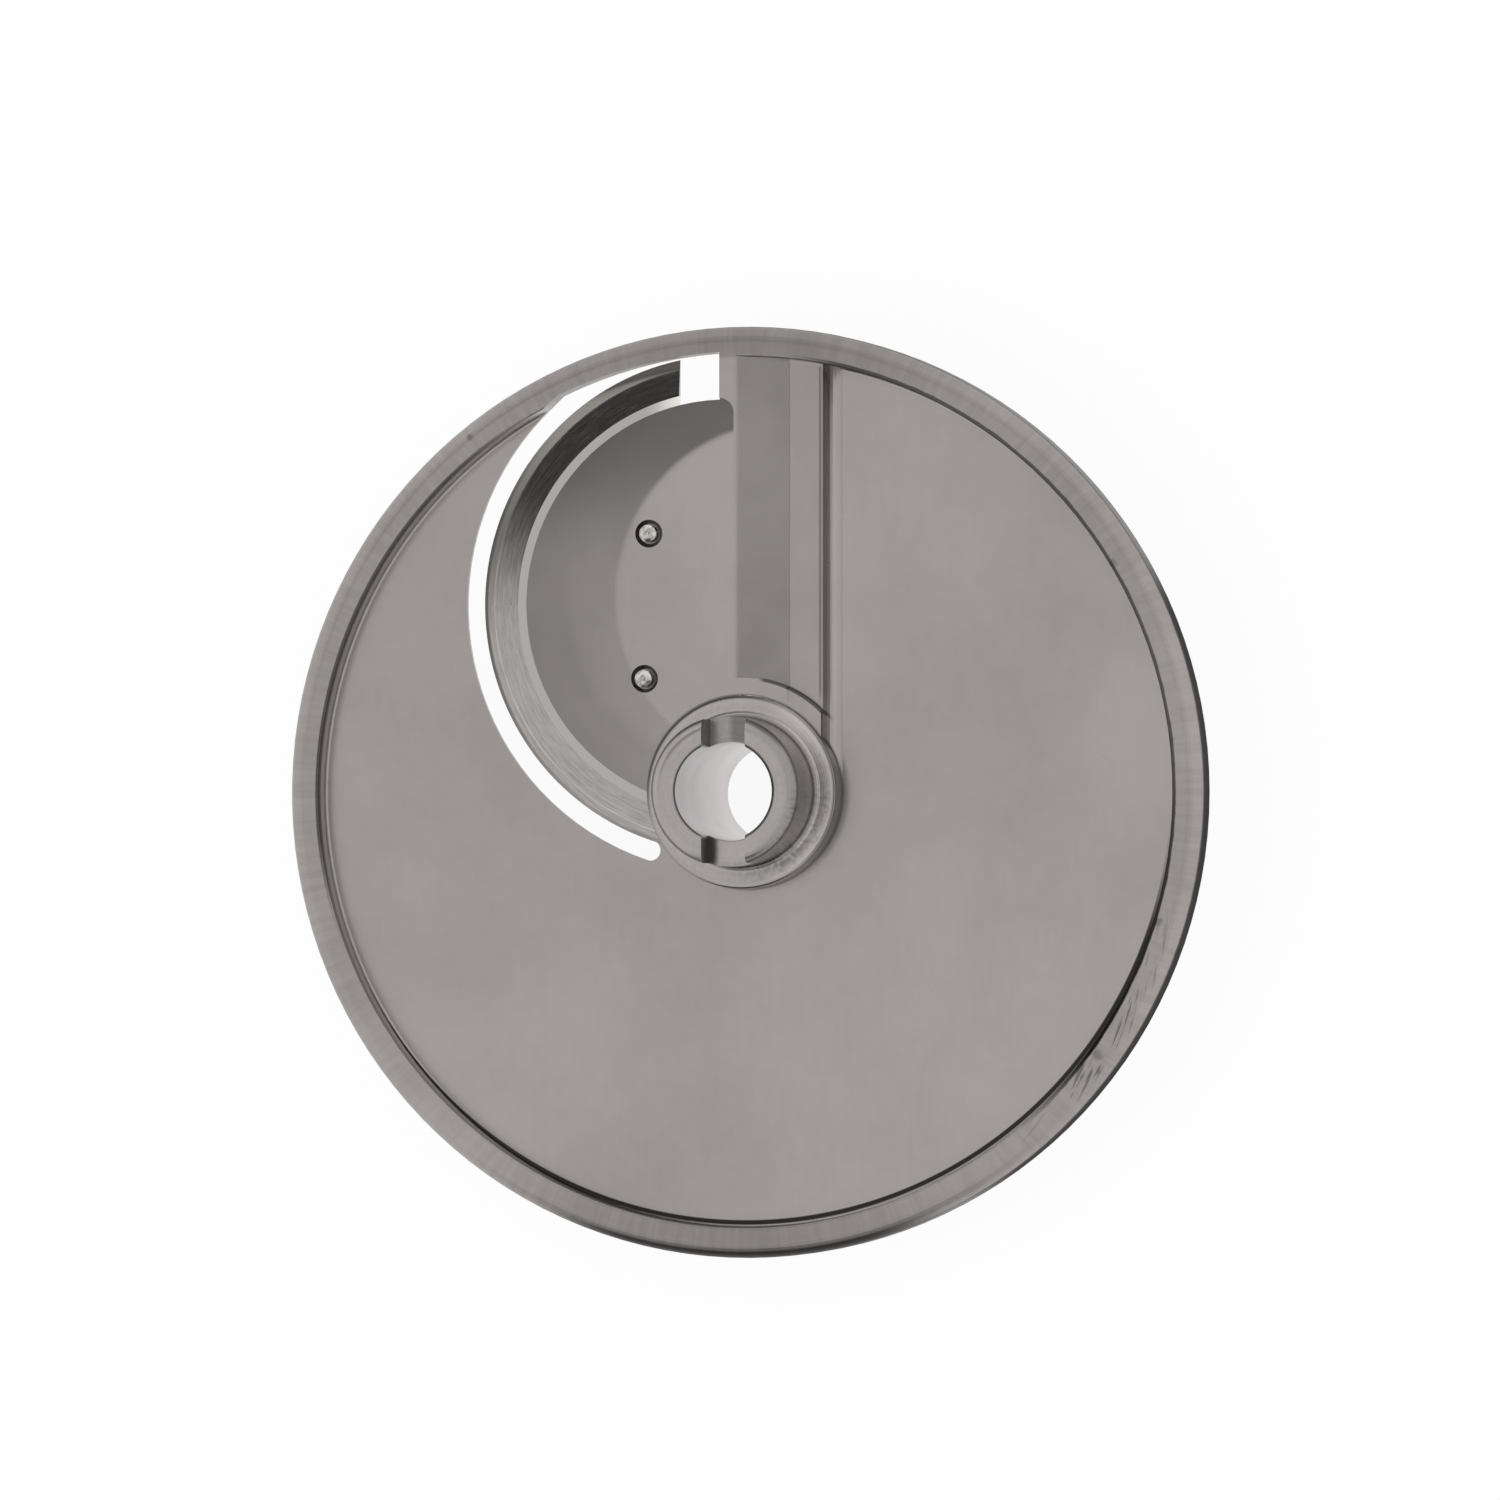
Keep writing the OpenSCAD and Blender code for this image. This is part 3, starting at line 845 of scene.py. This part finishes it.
def laid(width, start, end):
    """Lays an arc of card on the floor beside the disc: its place for two numbers from -1 to 1."""
    middle, half = math.radians(end + start) / 2, math.radians(end - start) / 2

    def place(u, v):
        reach = RIM_RADIUS + 0.5 * width * (1.0 + v)
        turn = middle + half * u
        return Vector((reach * math.cos(turn), reach * math.sin(turn), CARD_LIFT))

    return place


def make_card(scene, name, place, level, soft):
    """Puts up a soft-edged card of one brightness, which only the steel sees."""
    mesh = bpy.data.meshes.new(name)
    shape = bmesh.new()
    shape.loops.layers.uv.new("card")
    bmesh.ops.create_grid(shape, x_segments=48, y_segments=12, size=1.0, calc_uvs=True)
    for vertex in shape.verts:
        vertex.co = place(vertex.co.x, vertex.co.y)
    shape.to_mesh(mesh)
    shape.free()
    material, tree = new_material(name)
    u, v = tree.split(tree.add("ShaderNodeTexCoord", output="UV"))[:2]
    mask = u.smooth(0.0, soft) * (1.0 - u).smooth(0.0, soft)
    mask = mask * v.smooth(0.0, soft) * (1.0 - v).smooth(0.0, soft)
    clear = tree.add("ShaderNodeBsdfTransparent", None, {"Color": WHITE})
    glow = tree.add("ShaderNodeEmission", None, {"Color": WHITE, "Strength": level})
    mixed = tree.add("ShaderNodeMixShader", None, [mask, clear, glow])
    tree.node("ShaderNodeOutputMaterial", None, {"Surface": mixed})
    mesh.materials.append(material)
    card = bpy.data.objects.new(name, mesh)
    card.visible_camera = False
    card.visible_diffuse = False
    card.visible_shadow = False
    scene.collection.objects.link(card)


def make_cards(scene, settings):
    ramp = hung(settings, tilted(13.0, 0.0), spread=(9.0, 32.0))
    blade = hung(settings, tilted(-19.8, 23.3), spread=(25.0, 10.0), roll=38.0)
    front = hung(settings, Vector((-0.1, -1.0, 0.4)).normalized(), spread=(36.0, 24.0))
    skirt_shade = laid(24.0 * MM, start=-66.0, end=34.0)
    make_card(scene, "card_ramp", ramp, level=0.38, soft=0.3)
    make_card(scene, "card_blade", blade, level=0.07, soft=0.2)
    make_card(scene, "card_front", front, level=0.1, soft=0.3)
    make_card(scene, "card_floor", skirt_shade, level=0.05, soft=0.1)


def make_lamp(scene, settings):
    light = bpy.data.lights.new("key", "AREA")
    light.energy = settings.key_power
    light.size = LAMP_SIZE
    lamp = bpy.data.objects.new("key", light)
    lean = tilted(*LAMP_LEAN)
    lamp.location = Vector((0.0, 0.0, RIM_TOP)) + lean * LAMP_DISTANCE
    lamp.rotation_euler = view_axes(lean).to_euler()
    lamp.visible_glossy = False
    scene.collection.objects.link(lamp)


def make_camera(scene, settings):
    lean = Vector((math.sin(settings.camera_tilt), -math.sin(settings.camera_dip), 1.0))
    lean.z = math.sqrt(1.0 - lean.x ** 2 - lean.y ** 2)
    axes = view_axes(lean)
    aim = Vector((0.0, 0.0, RIM_TOP)) - axes @ Vector((settings.axis_shift[0], settings.axis_shift[1], 0.0))
    camera = bpy.data.objects.new("camera", bpy.data.cameras.new("camera"))
    scene.collection.objects.link(camera)
    camera.location = aim + lean * settings.camera_distance
    camera.rotation_euler = axes.to_euler()
    camera.data.sensor_width = SENSOR_WIDTH
    camera.data.lens = SENSOR_WIDTH * settings.camera_distance / settings.view_width
    camera.data.clip_start = 0.01
    scene.camera = camera


class DISC_OT_stage(bpy.types.Operator):
    """Lay the pale floor, light the studio and place the camera"""

    bl_idname = "slicing_disc.stage"
    bl_label = "Stage"

    def execute(self, context):
        scene = context.scene
        settings = scene.disc_stage
        make_floor(scene, settings)
        make_world(scene, settings)
        make_cards(scene, settings)
        make_lamp(scene, settings)
        make_camera(scene, settings)
        scene.view_settings.view_transform = "Standard"
        return {"FINISHED"}


class DISC_PT_panel(bpy.types.Panel):
    """Lists the pieces of the slicing disc"""

    bl_idname = "DISC_PT_panel"
    bl_label = "Slicing Disc"
    bl_space_type = "VIEW_3D"
    bl_region_type = "UI"
    bl_category = "Slicing Disc"

    def draw(self, context):
        for operator, name, group in STEPS:
            box = self.layout.box()
            box.operator(operator.bl_idname)
            settings = getattr(context.scene, name)
            for key in group.__annotations__:
                box.prop(settings, key)


STEPS = (
    (DISC_OT_plate, "disc_plate", PlateSettings),
    (DISC_OT_blade, "disc_blade", BladeSettings),
    (DISC_OT_hub, "disc_hub", HubSettings),
    (DISC_OT_rivets, "disc_rivets", RivetSettings),
    (DISC_OT_stage, "disc_stage", StageSettings),
)


def register():
    for operator, name, group in STEPS:
        bpy.utils.register_class(group)
        bpy.utils.register_class(operator)
        setattr(bpy.types.Scene, name, PointerProperty(type=group))
    bpy.utils.register_class(DISC_PT_panel)


def unregister():
    bpy.utils.unregister_class(DISC_PT_panel)
    for operator, name, group in reversed(STEPS):
        delattr(bpy.types.Scene, name)
        bpy.utils.unregister_class(operator)
        bpy.utils.unregister_class(group)


def main():
    register()
    bpy.ops.slicing_disc.plate()
    bpy.ops.slicing_disc.blade()
    bpy.ops.slicing_disc.hub()
    bpy.ops.slicing_disc.rivets()
    bpy.ops.slicing_disc.stage()


if __name__ == "__main__":
    main()
